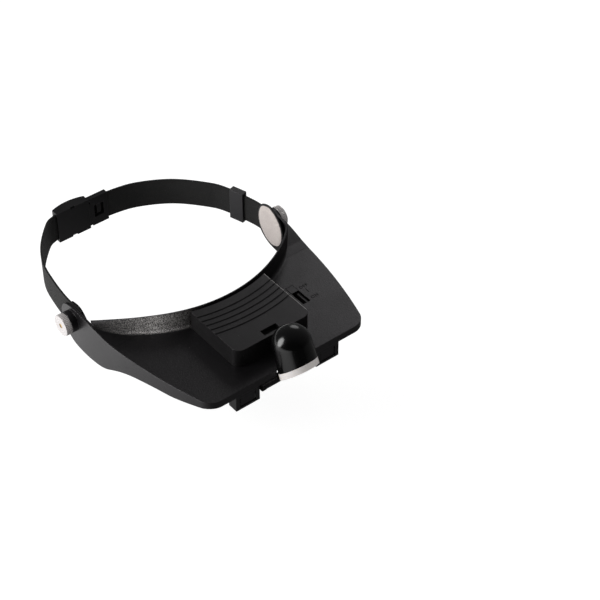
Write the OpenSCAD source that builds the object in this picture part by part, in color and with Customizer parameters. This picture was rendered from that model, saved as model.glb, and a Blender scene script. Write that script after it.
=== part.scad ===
// Lighted headband magnifier, sizes in millimetres.
// The origin is midway between the two temple pivots: the brim points along -Y,
// +Z is up, and +X is the wearer's left.

/* [Headband] */
// Width of the webbing
strap_w = 25; // [22:0.5:28]
// Thickness of the webbing
strap_t = 1.6; // [1.2:0.1:2]
// Distance between the webbing's mid-lines at the temples
band_w = 182.8; // [178:0.2:190]
// Mid-line of the webbing at the back of the head
band_back = 100.3; // [96:0.5:115]
// Webbing in front of each pivot
strap_lead = 9; // [8:0.5:11]

/* [Temple] */
// Width of the temple plate
temple_w = 31.2; // [28:0.2:33]
// Height of the temple plate
temple_h = 38.2; // [34:0.2:39]
// How far the plate's middle lies in front of the pivot
temple_lead = 6.5; // [5:0.5:7]
// Turn of the temple oval, its top towards the back
temple_turn = 21; // [0:1:30]
// Thickness of the temple plate
temple_t = 1.2; // [1:0.1:2]
// Thickness of the skin pad
pad_t = 1.6; // [1.4:0.1:3]
// Margin of the plate round the pad
pad_margin = 0.8; // [0.4:0.1:1.5]

/* [Pivot] */
// Radius of the clamp screw
screw_r = 2; // [1.5:0.1:2.4]
// Radius of the thumb nut
nut_r = 8.75; // [7:0.25:10]
// Thickness of the thumb nut
nut_t = 5.2; // [4:0.2:6]
// Length of the boss outside the ear
boss_t = 5.2; // [4:0.2:7]
// Ridges round the thumb nut
knurl_count = 40; // [24:2:60]

/* [Brim] */
// Gap between the webbing and the brim's ears
ear_gap = 0.5; // [0.4:0.1:2]
// Front edge, in front of the pivots
brim_front = 144.5; // [138:0.5:150]
// Height of the brim's top above the pivots
brim_top = 7; // [6:0.5:8]
// Wall of the brim moulding
wall = 2.3; // [1.8:0.1:2.4]
// Radius of each side edge in plan
side_r = 450; // [380:10:600]
// Radius of the front corners
corner_r = 13; // [9:1:18]
// Height of the front lip
lip_h = 6; // [5:0.5:7]
// Radius of the forehead rim
rim_r = 111.4; // [109:0.2:116]
// Height of the rim's crest above the pivots
rim_top = 23.6; // [21:0.2:25]
// Lowest point of the side skirts below the pivots
skirt_low = 25; // [23:0.5:28]

/* [Battery box] */
// Half width of the cover
cover_half = 34.4; // [32:0.2:36]
// Front face of the cover, in front of the pivots
cover_front = 126.6; // [126:0.2:128]
// Top of the cover above the pivots
cover_top = 23.5; // [22.5:0.5:26]
// Wall of the cover
cover_wall = 1.8; // [1.4:0.1:2]
// Corner radius of the cover
cover_corner = 7; // [4:0.5:9]
// Grip grooves across the cover
groove_count = 5; // [3:1:6]
// Distance between the grip grooves
groove_pitch = 5.45; // [4.5:0.05:6]
// Radius of a battery cell
cell_r = 5.2; // [5:0.05:5.3]
// Length of a battery cell
cell_l = 44.5; // [43:0.5:45]

/* [Switch] */
// Middle line of the switch slot, to the wearer's left
switch_x = 50.7; // [49:0.1:54]
// Rear end of the switch slot, in front of the pivots
switch_rear = 79; // [77:0.5:82]
// Length of the switch slot
switch_l = 22; // [18:0.5:24]
// Width of the switch slot
switch_w = 6.9; // [5:0.1:8]
// Length of the switch knob
knob_l = 7.2; // [6:0.1:10]

/* [Lamp] */
// Radius of the lamp's dome
dome_r = 15; // [14:0.1:15.4]
// Radius of the lamp at the ring
lamp_r = 15.4; // [14.5:0.1:16]
// Length of the lamp between dome and ring
lamp_l = 17.7; // [16:0.1:20]
// Thickness of the clear ring
ring_t = 4.9; // [4:0.1:6]
// Angle of the lamp's own axis below the horizon
lamp_angle = 66.5; // [62:0.5:70]
// Angle of the beam, square to the ring, below the horizon
beam_angle = 48; // [44:1:60]
// Wall of the lamp housing
lamp_wall = 1.7; // [1.3:0.1:2]

/* [Lens clips] */
// Distance of each clip's middle from the centre line
clip_x = 37.2; // [36:0.2:40]
// Width of a clip
clip_w = 21.5; // [20:0.5:22]
// Height of a clip below the lip
clip_h = 15.4; // [14:0.2:18]
// Gap that a lens plate's tab slides into
slot_t = 4.6; // [4.2:0.1:5]
// Width of the lens slot
slot_w = 15.5; // [14:0.5:16.5]

/* [Buckle] */
// Height of the buckle
buckle_h = 29; // [28.4:0.2:32]
// Length of the buckle's housing
housing_l = 30; // [26:0.5:33]
// Visible length of the buckle's insert
insert_l = 18; // [16:0.5:20]
// End of the housing, to the wearer's right
housing_end = 45; // [44:0.5:47]

/* [Hidden] */

$fn = 96;
fine_fn = 360;
eps = 0.01;
touch = 0.3;
bore_clear = 0.06;
half_band = band_w / 2;
strap_in = half_band - strap_t / 2;
strap_out = half_band + strap_t / 2;

// Temple stack, from the head outwards
plate_out = strap_in - touch;
plate_in = plate_out - temple_t;
pad_in = plate_in - pad_t;
// Y, Z and turn of the left and the right oval, each as it was left hanging
temple_seats = [[-temple_lead, 1, temple_turn], [0, -6.8, 5]];
ear_in = strap_out + ear_gap;
brim_half = ear_in + wall;
boss_out = brim_half + boss_t;
nut_in = boss_out + 0.2;
nut_out = nut_in + nut_t;
screw_out = nut_out - 0.4;

// Route of the webbing, as points of its mid-line
route_left = [
    [-half_band, -strap_lead], [-half_band, 12], [-half_band + 2.9, 36],
    [-half_band + 7.8, 57], [-half_band * 0.795, band_back - 23.3],
    [-housing_end - 11, band_back - 4.8], [-housing_end - 2.5, band_back - 0.5],
    [-housing_end + 1.5, band_back]
];
slider_mid = [half_band - 5.1, 32.5];
slider_turn = 17;
slider_l = 13;
slider_bar = 3;
route_rear = [
    [insert_end() - 1.5, band_back], [half_band * 0.295, band_back - 4.8],
    [half_band * 0.598, band_back - 20.3], [half_band * 0.836, 56], [half_band - 7.6, 41], slider_mid + turned([0, slider_bar / 2 + touch])
];
route_right = [
    slider_mid - turned([0, slider_bar / 2 + touch]), [half_band - 2.4, 22.5],
    [half_band, 10], [half_band, -strap_lead]
];

// Brim plan
front_y = -brim_front;
arc_x = side_r - brim_half;
fillet_y = front_y + corner_r;
fillet_x = sqrt(pow(side_r - corner_r, 2) - pow(fillet_y, 2)) - arc_x;
fillet_turn = atan2(fillet_y, fillet_x + arc_x);
plate_t = wall - 0.1;
crest_y = -71;
rim_y = crest_y + rim_r;
rim_fillet = 2.6;
rim_foot = rim_r + 1.6 + rim_fillet;
lip_low = brim_top - lip_h;

// Lamp, along the beam from the dome's centre
dome_y = front_y - 2.2;
dome_z = 28.2;
lamp_axis_y = front_y + 2.5;
lamp_axis_z = lip_low - 5;
pin_r = 1.6;
lug_in = 22.5;
lug_t = 2.8;
scallop_half = 0.73 * lamp_r + 1;
scallop_depth = 7.4;
scallop_r = (scallop_half ^ 2 + scallop_depth ^ 2) / (2 * scallop_depth);
scallop_y = front_y - scallop_r + scallop_depth;

function insert_end() = insert_l + housing_l - housing_end;
function turned(p) = [
    p.x * cos(slider_turn) - p.y * sin(slider_turn), p.x * sin(slider_turn) + p.y * cos(slider_turn)
];

// Point on a smooth curve through four points, at share s of the middle span
function curve(a, b, c, d, s) = 0.5 * (
    2 * b + (c - a) * s + (2 * a - 5 * b + 4 * c - d) * s * s + (3 * b - a - 3 * c + d) * s * s * s
);

// Smooth open curve through all the points, with n steps a span
function smooth(points, n) = let (last = len(points) - 1) concat(
    [for (i = [0 : last - 1]) for (k = [0 : n - 1]) curve(
        points[max(i - 1, 0)], points[i], points[i + 1], points[min(i + 2, last)], k / n)],
    [points[last]]
);

// Outline of a ribbon of thickness t along a route
function ribbon(route, t) = let (
    last = len(route) - 1,
    sides = [for (i = [0 : last])
        let (d = route[min(i + 1, last)] - route[max(i - 1, 0)])
        [-d.y, d.x] / norm(d) * t / 2]
) concat(
    [for (i = [0 : last]) route[i] + sides[i]],
    [for (i = [last : -1 : 0]) route[i] - sides[i]]
);

module webbing(points) {
    linear_extrude(strap_w, center = true)
        polygon(ribbon(smooth(points, 5), strap_t));
}

// A cylinder along X between two places
module along_x(r, from, to) {
    translate([from, 0, 0]) rotate([0, 90, 0]) cylinder(r = r, h = to - from);
}

module strap_left() {
    color("#2b2b2c") difference() {
        webbing(route_left);
        mirror([1, 0, 0]) along_x(screw_r + 0.4, strap_in - 2, strap_out + 2);
    }
}

module strap_rear() {
    color("#2b2b2c") webbing(route_rear);
}

module strap_right() {
    color("#2b2b2c") difference() {
        webbing(route_right);
        along_x(screw_r + 0.4, strap_in - 2, strap_out + 2);
    }
}

// Flat sleeve with a bar across its middle, where the two webbing ends meet
module strap_slider() {
    sleeve_t = strap_t + 4;
    sleeve_h = strap_w + 4;
    slot = [slider_l / 2 - slider_bar / 2, strap_t + 0.8, strap_w + 0.6];
    color("#1c1c1d") translate(slider_mid) rotate(slider_turn) difference() {
        cube([sleeve_t, slider_l, sleeve_h], center = true);
        for (side = [-1, 1])
            translate([0, side * (slider_bar / 2 + slot.x / 2 + 0.5), 0])
                cube([slot.y + 0.4, slot.x + 1, slot.z], center = true);
        translate([sleeve_t / 2, 0, 0])
            cube([1.4, slider_l - 5, strap_w - 4], center = true);
    }
}

// Plan of the buckle: flat towards the head, crowned outside
housing_in = band_back - 2.7;
housing_out = band_back + 7.2;
cavity_in = housing_in + 1.5;
cavity_out = housing_in + 6;
cavity_h = buckle_h - 4;
housing_crown_r = 42;
prong_h = 6.5;
prong_l = housing_l - 9;

module buckle_housing() {
    mid_x = -housing_end + housing_l / 2;
    color("#1a1a1b") difference() {
        linear_extrude(buckle_h, center = true) intersection() {
            translate([-housing_end, housing_in]) square([housing_l, housing_out - housing_in]);
            translate([mid_x, housing_out - housing_crown_r]) circle(housing_crown_r);
        }
        translate([-housing_end + 5, cavity_in, -cavity_h / 2])
            cube([housing_l, cavity_out - cavity_in, cavity_h]);
        translate([-housing_end - 1, band_back - strap_t / 2 - 0.5, -strap_w / 2 - 0.4])
            cube([3.4, strap_t + 1, strap_w + 0.8]);
        for (side = [-1, 1])
            translate([mid_x, housing_in, side * buckle_h / 2])
                cube([4.4, 2.4, 3], center = true);
    }
}

// Window in the insert, with the latch finger hanging in it
window = [9, 12];
window_x = insert_end() - insert_l + 9.5;
insert_t = strap_t + 2.6;
insert_in = band_back - insert_t / 2;
insert_gap = 0.4;
window_floor = 0.8;

module buckle_insert() {
    root_x = -housing_end + housing_l;
    color("#1a1a1b") difference() {
        union() {
            translate([root_x + insert_gap, insert_in, -buckle_h / 2 + 0.6])
                cube([insert_l - insert_gap, insert_t, buckle_h - 1.2]);
            for (side = [-1, 1])
                translate([root_x - prong_l, cavity_in + 0.3, side * (cavity_h - prong_h) / 2])
                    translate([0, 0, side * -0.3]) prong(side);
        }
        translate([window_x - window.x / 2, insert_in - 1, -window.y / 2])
            cube([window.x, insert_t + 1 - window_floor, window.y]);
        translate([root_x, insert_in - 1, buckle_h / 2 - 5.5]) cube([1.8, 2.4, 2.6]);
        translate([root_x, insert_in - 1, -buckle_h / 2]) cube([2.8, 2.4, 4.8]);
        translate([insert_end() - 3, band_back - strap_t / 2 - 0.5, -strap_w / 2 - 0.2])
            cube([4, strap_t + 1, strap_w + 0.4]);
    }
}

// Springy arm of the insert with its barb
module prong(side) {
    translate([0, 0, -prong_h / 2]) linear_extrude(prong_h)
        square([prong_l + 1.5, insert_t - 0.9]);
    translate([3, (insert_t - 0.9) / 2, side * (prong_h / 2 - 1.4)])
        cube([6, insert_t - 0.9, 2.8], center = true);
}

module buckle_latch() {
    finger = [3.6, insert_t - window_floor - 0.8, window.y - 3.2];
    color("#1a1a1b")
        translate([window_x - finger.x / 2, insert_in + 0.4, window.y / 2 - finger.z - touch])
            cube(finger);
}

// Oval of the temple pieces from four arcs, seen along X
module temple_oval(w, h, from, to, seat) {
    flank_r = 0.7 * w;
    translate([from, seat.x, seat.y]) rotate([90, 0, 90]) linear_extrude(to - from)
        rotate(-seat.z) intersection() {
            translate([w / 2 - flank_r, 0]) circle(flank_r);
            translate([flank_r - w / 2, 0]) circle(flank_r);
            circle(h / 2);
        }
}

module temple_plate(seat) {
    color("#161617") difference() {
        temple_oval(temple_w, temple_h, plate_in, plate_out, seat);
        along_x(screw_r, plate_in + temple_t / 2, plate_out + 1);
    }
}

// Soft pad with its crown towards the head
module temple_pad(seat) {
    crown_r = 130;
    color("#cfc6c2") intersection() {
        temple_oval(temple_w - 2 * pad_margin, temple_h - 2 * pad_margin, pad_in - 1, plate_in, seat);
        translate([plate_in, seat.x, seat.y]) rotate([0, -90, 0])
            rotate_extrude($fn = fine_fn) intersection() {
                translate([0, pad_t - crown_r]) circle(crown_r, $fn = fine_fn);
                translate([0, -1]) square([temple_h, pad_t + 2]);
            }
    }
}

module clamp_screw() {
    color("#b08d4c") along_x(screw_r, plate_in + temple_t / 2, screw_out);
}

module thumb_nut() {
    rim_w = 1;
    knurl_d = 0.45;
    knurled = [for (i = [0 : 2 * knurl_count - 1])
        (nut_r - (i % 2) * knurl_d) * [cos(i * 180 / knurl_count), sin(i * 180 / knurl_count)]];
    color("silver") translate([nut_in, 0, 0]) rotate([0, 90, 0]) difference() {
        union() {
            cylinder(r = nut_r - 0.5, h = rim_w);
            translate([0, 0, rim_w]) linear_extrude(nut_t - rim_w - 0.9) polygon(knurled);
            translate([0, 0, nut_t - 0.9]) cylinder(r = nut_r - 0.3, h = 0.9);
        }
        translate([0, 0, -1]) cylinder(r = screw_r + bore_clear, h = nut_t + 2);
    }
}

// Plan of the brim, drawn in by inset, with the hollow that clears the lamp
module brim_plan(inset = 0, rear = 20) {
    difference() {
        intersection() {
            translate([-arc_x, 0]) circle(side_r - inset, $fn = fine_fn);
            translate([arc_x, 0]) circle(side_r - inset, $fn = fine_fn);
            translate([-brim_half, front_y + inset]) square([2 * brim_half, brim_front + rear]);
        }
        for (side = [0, 1]) mirror([side, 0]) translate([fillet_x, fillet_y]) difference() {
            polygon([[0, 0], [0, -40], [40, -40], 40 * [cos(fillet_turn), sin(fillet_turn)]]);
            circle(corner_r - inset);
        }
        translate([0, scallop_y]) circle(scallop_r + inset);
    }
}

// Side view of the skirt and ear, as points in Y and Z
ear_rear = 15.5;
skirt_edge = [
    [front_y - 1, lip_low], [front_y + 4, lip_low], [front_y + 14, lip_low - 2],
    [front_y + 34, lip_low - 5.5], [front_y + 52, lip_low - 6.8], [-74, lip_low - 9.6],
    [-61, -12.2], [-50, -17], [-38, 2 - skirt_low], [-26, -skirt_low], [-12, -skirt_low],
    [2, 2.5 - skirt_low], [12, -14], [ear_rear, -2], [12, 8], [2, 12.6], [-13, 12.1],
    [-28, brim_top + 3.4], [-42, brim_top + 0.8]
];

module side_view(extra = 0) {
    rotate([90, 0, 90]) linear_extrude(2 * brim_half + 10, center = true)
        polygon(concat(smooth(skirt_edge, 4), [[-52, brim_top], [front_y - 1, brim_top]]));
}

// Upper side of the forehead rim, from its crest down to the brim, gap off the surface
function rim_profile(gap) = concat(
    [[rim_r + 0.9 + gap, rim_top], [rim_r + 1.3 + gap, rim_top - 3]],
    [for (turn = [0 : 11.25 : 90]) [
        rim_foot - (rim_fillet - gap) * cos(turn), brim_top + rim_fillet
            - (rim_fillet - gap) * sin(turn)]]
);
rim_under = [
    [rim_foot + 0.6, brim_top - plate_t], [rim_foot - 0.6, brim_top - plate_t + 0.1],
    [rim_r + 3.2, brim_top - 0.9], [rim_r + 1.4, brim_top + 0.6], [rim_r + 0.4, brim_top + 2.6],
    [rim_r, brim_top + 5.5], [rim_r, rim_top]
];

// Height of the crest along its way to the temples, in a side view
rim_crest = [
    [crest_y - 12, rim_top + eps], [crest_y, rim_top + eps], [crest_y + 11, rim_top - 0.4],
    [crest_y + 21, rim_top - 1.6], [crest_y + 36, rim_top - 5.1], [crest_y + 51, rim_top - 10.4],
    [crest_y + 62, rim_top - 14.8]
];

module forehead_rim() {
    swing_r = temple_lead + temple_w / 2 + 1;
    difference() {
        intersection() {
            translate([0, rim_y, 0]) rotate(180) rotate_extrude(angle = 180, $fn = fine_fn)
                polygon(concat(rim_profile(0), [[rim_foot + 0.6, brim_top]], rim_under));
            translate([0, 0, -10]) linear_extrude(60) brim_plan(wall - eps);
            rotate([90, 0, 90]) linear_extrude(2 * brim_half, center = true)
                polygon(concat(smooth(rim_crest, 4), [[rim_crest[6].x, 0], [rim_crest[0].x, 0]]));
        }
        along_x(swing_r, -plate_out - touch, plate_out + touch);
    }
}

// Rise of the brim towards the temples, between the ears and the forehead rim
module brim_rise() {
    rise_front = crest_y + 20;
    intersection() {
        translate([0, 0, brim_top - 0.6]) linear_extrude(40) difference() {
            brim_plan(wall / 2);
            translate([0, rim_y]) circle(rim_r + 0.8, $fn = fine_fn);
            translate([-brim_half, rise_front - 200]) square([2 * brim_half, 200]);
        }
        side_view();
    }
}

// Lug under the lip that carries one end of the lamp's pin
module lamp_lug() {
    lug_r = 3.7;
    translate([lug_in, 0, 0]) rotate([90, 0, 90]) linear_extrude(lug_t) {
        translate([lamp_axis_y, lamp_axis_z]) circle(lug_r);
        translate([front_y + 0.4, lamp_axis_z])
            square([lamp_axis_y + lug_r - front_y - 0.4, brim_top - wall - lamp_axis_z + 1]);
    }
}

module visor_shell() {
    color("#1f1f20") difference() {
        union() {
            intersection() {
                translate([0, 0, -40]) linear_extrude(60) difference() {
                    brim_plan();
                    brim_plan(wall, rear = 40);
                }
                side_view();
            }
            translate([0, 0, brim_top - plate_t]) linear_extrude(plate_t) difference() {
                brim_plan();
                translate([0, rim_y]) circle(rim_foot, $fn = fine_fn);
            }
            forehead_rim();
            brim_rise();
            for (side = [0, 1]) mirror([side, 0, 0]) {
                along_x(nut_r, ear_in + 0.5, boss_out);
                lamp_lug();
            }
        }
        for (side = [0, 1]) mirror([side, 0, 0]) {
            along_x(screw_r + bore_clear, ear_in - 5, boss_out + 5);
            translate([0, lamp_axis_y, lamp_axis_z])
                along_x(pin_r + bore_clear, lug_in - 1, lug_in + lug_t + 1);
        }
        translate([switch_x - switch_w / 2, -switch_rear - switch_l, 0])
            cube([switch_w, switch_l, 20]);
    }
}

// Socket under the lip that a lens plate's tab slides up into
clip_front = front_y + 2.2;
clip_wall = 2;
clip_top = lip_low - 0.8;
clip_low = clip_top - clip_h;
clip_depth = clip_wall + slot_t + 2.4;
tongue = [slot_w - 2.5, 1.4, 8];
tongue_top = clip_top - 4.6;

module lens_clip() {
    color("#1b1b1c") translate([clip_x, 0, 0]) difference() {
        union() {
            translate([-clip_w / 2, clip_front, clip_low]) cube([clip_w, clip_depth, clip_h]);
            translate([-clip_w / 2, clip_front + clip_depth - 2.4, clip_top - 1])
                cube([clip_w, 2.4, brim_top - plate_t - clip_top + 1]);
        }
        translate([-slot_w / 2, clip_front + clip_wall, clip_low - 1])
            cube([slot_w, slot_t, clip_h - 1.6]);
        translate([-tongue.x / 2 - 0.8, clip_front - 1, tongue_top - tongue.z - 0.8])
            cube([tongue.x + 1.6, clip_wall + 1.5, tongue.z + 0.8 + touch]);
    }
}

module clip_tongue() {
    color("#242426") translate([clip_x - tongue.x / 2, clip_front + 0.4, tongue_top - tongue.z])
        cube(tongue);
}

// Plan of the battery box, with its rear edge following the rim
cover_rear_r = rim_r + 3.8;
module cover_plan(inset = 0) {
    half = cover_half - inset;
    front = -cover_front + inset;
    corner = max(cover_corner - inset, 1);
    difference() {
        union() {
            translate([-half + corner, front]) square([2 * (half - corner), 80]);
            translate([-half, front + corner]) square([2 * half, 80 - corner]);
            for (side = [-1, 1]) translate([side * (half - corner), front + corner]) circle(corner);
        }
        translate([0, rim_y]) circle(cover_rear_r + inset, $fn = fine_fn);
    }
}

// Finger notch near the front of the cover
notch = [14.4, 5.6, 4];
notch_y = -cover_front + 2.6;
groove_r = 0.85;
first_groove_r = cover_rear_r + 8.2;

// The forehead rim with room round it, taken out of the cover
module rim_room(gap) {
    translate([0, rim_y, 0]) rotate(180) rotate_extrude(angle = 180, $fn = fine_fn)
        polygon(concat(rim_profile(gap), [[rim_foot, 0], [rim_r - 20, 0],
            [rim_r - 20, rim_top + 5], [rim_r + 0.9 + gap, rim_top + 5]]));
}

module notch_pocket(grow = 0, depth = notch.z) {
    translate([-notch.x / 2 - grow, notch_y - grow, cover_top - depth])
        cube([notch.x + 2 * grow, notch.y + 2 * grow, depth]);
}

module battery_cover() {
    base = brim_top + 0.1;
    color("#212122") difference() {
        union() {
            difference() {
                translate([0, 0, base]) linear_extrude(cover_top - base) cover_plan();
                difference() {
                    translate([0, 0, base - 1]) linear_extrude(cover_top - base - cover_wall + 1)
                        cover_plan(cover_wall);
                    rim_room(touch + cover_wall);
                }
            }
            notch_pocket(1.2, notch.z + 1.2);
        }
        for (i = [0 : groove_count - 1])
            translate([0, rim_y, cover_top + 0.25]) rotate(180)
                rotate_extrude(angle = 180, $fn = fine_fn)
                    translate([first_groove_r + i * groove_pitch, 0]) circle(groove_r, $fn = 16);
        translate([0, 0, eps]) notch_pocket();
        rim_room(touch);
    }
}

// Tray on the brim that holds two cells side by side
tray_half = cover_half - cover_wall - 1;
tray_front = -cover_front + cover_wall + 8.6;
tray_l = 2 * (2 * cell_r + 0.6) + 4.6;
tray_floor = 1.2;
tray_top = brim_top + 0.1 + tray_floor + 1.4 * cell_r;
cell_pitch = 2 * cell_r + 1.6;
cell_y = tray_front + tray_l / 2;
cell_z = brim_top + 0.1 + tray_floor + cell_r + 0.1;

module battery_tray() {
    base = brim_top + 0.1;
    bay_l = cell_l + 7;
    color("#2a2a2b") difference() {
        translate([-tray_half, tray_front, base])
            cube([2 * tray_half, tray_l, tray_top - base]);
        for (side = [-1, 1]) translate([0, cell_y + side * cell_pitch / 2, cell_z]) {
            translate([-bay_l / 2, 0, 0]) rotate([0, 90, 0]) cylinder(r = cell_r + 0.15, h = bay_l);
            translate([-bay_l / 2, -cell_r - 0.15, 0]) cube([bay_l, 2 * cell_r + 0.3, 20]);
        }
    }
}

module battery_cell() {
    nub = 0.9;
    color("#6f7277") along_x(cell_r, -cell_l / 2, cell_l / 2 - nub);
    color("silver") along_x(1.9, cell_l / 2 - nub, cell_l / 2);
}

module battery_cells() {
    for (side = [0, 1]) translate([0, cell_y + (side - 0.5) * cell_pitch, cell_z])
        mirror([side, 0, 0]) battery_cell();
}

// Sprung contact at each end of each cell
contact_t = 0.5;
module battery_contacts() {
    contact = [contact_t, 2 * cell_r - 2, 1.3 * cell_r];
    bay_end = (cell_l + 7) / 2;
    color("silver") for (side = [-1, 1]) for (end = [0, 1])
        translate([0, cell_y + side * cell_pitch / 2, cell_z]) mirror([end, 0, 0]) {
            translate([bay_end - contact_t, -contact.y / 2, -contact.z / 2]) cube(contact);
            along_x(2.6, cell_l / 2 + 0.1, bay_end - contact_t);
        }
}

// Slide switch under the brim and its knob in the slot
switch_body_l = switch_l + 4;
switch_body_t = 4.4;
module switch_body() {
    top = brim_top - plate_t;
    color("#303033") {
        difference() {
            translate([switch_x - 5, -switch_rear - switch_l - 2, top - switch_body_t])
                cube([10, switch_body_l, switch_body_t]);
            translate([switch_x - 2.5, -switch_rear - switch_l - 0.5, top - 2.6])
                cube([3.2, switch_l + 1, 4]);
        }
        translate([switch_x + 0.9, -switch_rear - switch_l + 0.3, top - 0.1])
            cube([1.8, switch_l - 0.6, plate_t - knob_t - 0.1]);
    }
}

knob_t = 1.3;
module switch_knob() {
    knob_w = switch_w - 0.5;
    rear = -switch_rear - touch;
    color("#1b1b1c") {
        translate([switch_x - knob_w / 2, rear - knob_l, brim_top + 0.2 - knob_t])
            cube([knob_w, knob_l, knob_t]);
        translate([switch_x - 2.1, rear - knob_l + 1.2, brim_top - plate_t - 2.3])
            cube([2.4, knob_l - 2.4, plate_t + 1.6]);
    }
}

// Radius of the lamp's cone at a distance from the dome's centre
function cone_r(at) = dome_r + (lamp_r - dome_r) * at / lamp_l;

// Places the lamp's body: local +Z runs from the dome down its axis
module lamp_place() {
    translate([0, dome_y, dome_z]) rotate([90 + lamp_angle, 0, 0]) children();
}

// Places what is square to the beam, from the middle of the ring's upper face
module beam_place() {
    lamp_place() translate([0, 0, lamp_l]) rotate([beam_angle - lamp_angle, 0, 0]) children();
}

// Slab across the beam, to cut the slanting end of the lamp
module beam_slab(from, to) {
    beam_place() translate([0, 0, (from + to) / 2]) cube([80, 80, to - from], center = true);
}

module lamp_housing() {
    end = lamp_l + 12;
    dome_in = dome_r - lamp_wall - 0.2;
    color("#0c0c0d") difference() {
        lamp_place() rotate_extrude() difference() {
            union() {
                intersection() {
                    circle(dome_r);
                    translate([0, -dome_r]) square(dome_r + eps);
                }
                polygon([[0, -eps], [dome_r, -eps], [cone_r(end), end], [0, end]]);
            }
            polygon(concat([for (turn = [90 : -15 : 0]) dome_in * [cos(turn), -sin(turn)]],
                [[cone_r(end) - lamp_wall, end + 1], [0, end + 1]]));
        }
        beam_slab(0, 60);
    }
}

lens_r = lamp_r - 2.6;
module lamp_ring() {
    color("#f1eeea") difference() {
        intersection() {
            lamp_place() cylinder(r1 = dome_r, r2 = cone_r(2 * lamp_l), h = 2 * lamp_l);
            beam_slab(0.05, ring_t);
        }
        beam_place() translate([0, 0, -1]) cylinder(r = lens_r, h = ring_t + 2);
    }
}

// Clear disc in the ring with a bulge behind it for each lamp
module lamp_lens() {
    disc_t = 2;
    color("#dfe6ea") beam_place() translate([0, 0, ring_t - disc_t - 0.5]) {
        cylinder(r = lens_r - 0.05, h = disc_t);
        for (side = [-1, 1]) translate([side * led_x, 0, -0.9]) cylinder(r = 4.4, h = 0.95);
    }
}

board_t = 1.4;
module lamp_board() {
    color("#2f5a3a") beam_place() translate([0, 0, -7.6]) cylinder(r = lens_r - 1.6, h = board_t);
}

// Two round-nosed lamps side by side on the board
led_x = 5.2;
module lamp_leds() {
    led_r = 2.5;
    led_l = 5;
    color("#f4f4ec") beam_place() for (side = [-1, 1])
        translate([side * led_x, 0, -7.6 + board_t]) rotate_extrude() {
            square([led_r, led_l]);
            intersection() {
                translate([0, led_l]) circle(led_r);
                translate([0, led_l]) square(led_r);
            }
        }
}

// Bar that turns in the lugs, with an arm behind the back of the lamp
module lamp_bracket() {
    bar_r = 3.4;
    bar_end = lug_in - touch;
    arm = [11, 5.4, 8.4];
    color("#1b1b1c") difference() {
        union() {
            translate([0, lamp_axis_y, lamp_axis_z]) {
                along_x(bar_r, -bar_end, bar_end);
                along_x(pin_r, -bar_end - lug_t, bar_end + lug_t);
            }
            translate([-arm.x / 2, lamp_axis_y - 3, lamp_axis_z]) cube(arm);
        }
        lamp_place() cylinder(r1 = dome_r + 0.02, r2 = cone_r(2 * lamp_l) + 0.02, h = 2 * lamp_l);
    }
}

// Two leads under the brim from the battery box to the lamp
wire_r = 0.7;
wires_front = scallop_y + scallop_r + wall + 1;
wires_l = 28;
module lamp_wires() {
    top = brim_top - plate_t - wire_r - 0.1;
    for (side = [-1, 1]) color(side == 1 ? "#8c1d18" : "#17181a")
        translate([side * 1.6, 0, top]) rotate([90, 0, 0])
            translate([0, 0, -wires_front - wires_l]) cylinder(r = wire_r, h = wires_l, $fn = 24);
}

strap_left();
strap_rear();
strap_right();
strap_slider();
buckle_housing();
buckle_insert();
buckle_latch();
temple_plate(temple_seats[0]);  // temple_plate_left
mirror([1, 0, 0]) temple_plate(temple_seats[1]);  // temple_plate_right
temple_pad(temple_seats[0]);  // temple_pad_left
mirror([1, 0, 0]) temple_pad(temple_seats[1]);  // temple_pad_right
clamp_screw();  // clamp_screw_left
mirror([1, 0, 0]) clamp_screw();  // clamp_screw_right
thumb_nut();  // thumb_nut_left
mirror([1, 0, 0]) thumb_nut();  // thumb_nut_right
visor_shell();
lens_clip();  // lens_clip_left
mirror([1, 0, 0]) lens_clip();  // lens_clip_right
clip_tongue();  // clip_tongue_left
mirror([1, 0, 0]) clip_tongue();  // clip_tongue_right
battery_tray();
battery_cover();
battery_cells();
battery_contacts();
switch_body();
switch_knob();
lamp_wires();
lamp_bracket();
lamp_housing();
lamp_ring();
lamp_lens();
lamp_board();
lamp_leds();
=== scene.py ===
import bpy
import math
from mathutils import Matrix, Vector


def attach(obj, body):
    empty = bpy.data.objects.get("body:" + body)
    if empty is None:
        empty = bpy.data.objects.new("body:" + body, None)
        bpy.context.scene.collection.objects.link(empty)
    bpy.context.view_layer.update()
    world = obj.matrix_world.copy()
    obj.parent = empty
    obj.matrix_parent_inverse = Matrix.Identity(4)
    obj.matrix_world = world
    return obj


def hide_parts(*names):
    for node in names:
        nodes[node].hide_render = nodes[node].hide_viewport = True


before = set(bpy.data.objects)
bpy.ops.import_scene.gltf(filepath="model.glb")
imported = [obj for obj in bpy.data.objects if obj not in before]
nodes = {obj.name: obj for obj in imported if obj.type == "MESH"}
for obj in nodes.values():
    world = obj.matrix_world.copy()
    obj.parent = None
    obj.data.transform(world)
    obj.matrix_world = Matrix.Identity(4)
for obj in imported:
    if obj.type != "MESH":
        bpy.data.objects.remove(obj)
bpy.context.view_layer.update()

mm = 0.001


# Camera, set to the photograph's own point of view
cameraValues = {"distance": 1.339, "right": 0.0975, "up": -0.0247, "lens": 102.9}
camBack = Vector((-0.4633, -0.5793, 0.6707)).normalized()
camRight = Vector((0.7810, -0.6246, 0.0)).normalized()
camUp = camBack.cross(camRight)
bpy.ops.object.camera_add()
camera = bpy.context.object
camera.name = "photoCamera"
camera.location = (camBack * cameraValues["distance"] + camRight * cameraValues["right"]
                   + camUp * cameraValues["up"])
camera.rotation_euler = (-camBack).to_track_quat("-Z", "Y").to_euler()
camera.data.sensor_width = 36
camera.data.lens = cameraValues["lens"]
camera.data.clip_end = 20
bpy.context.scene.camera = camera
print("camera ready")


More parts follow.
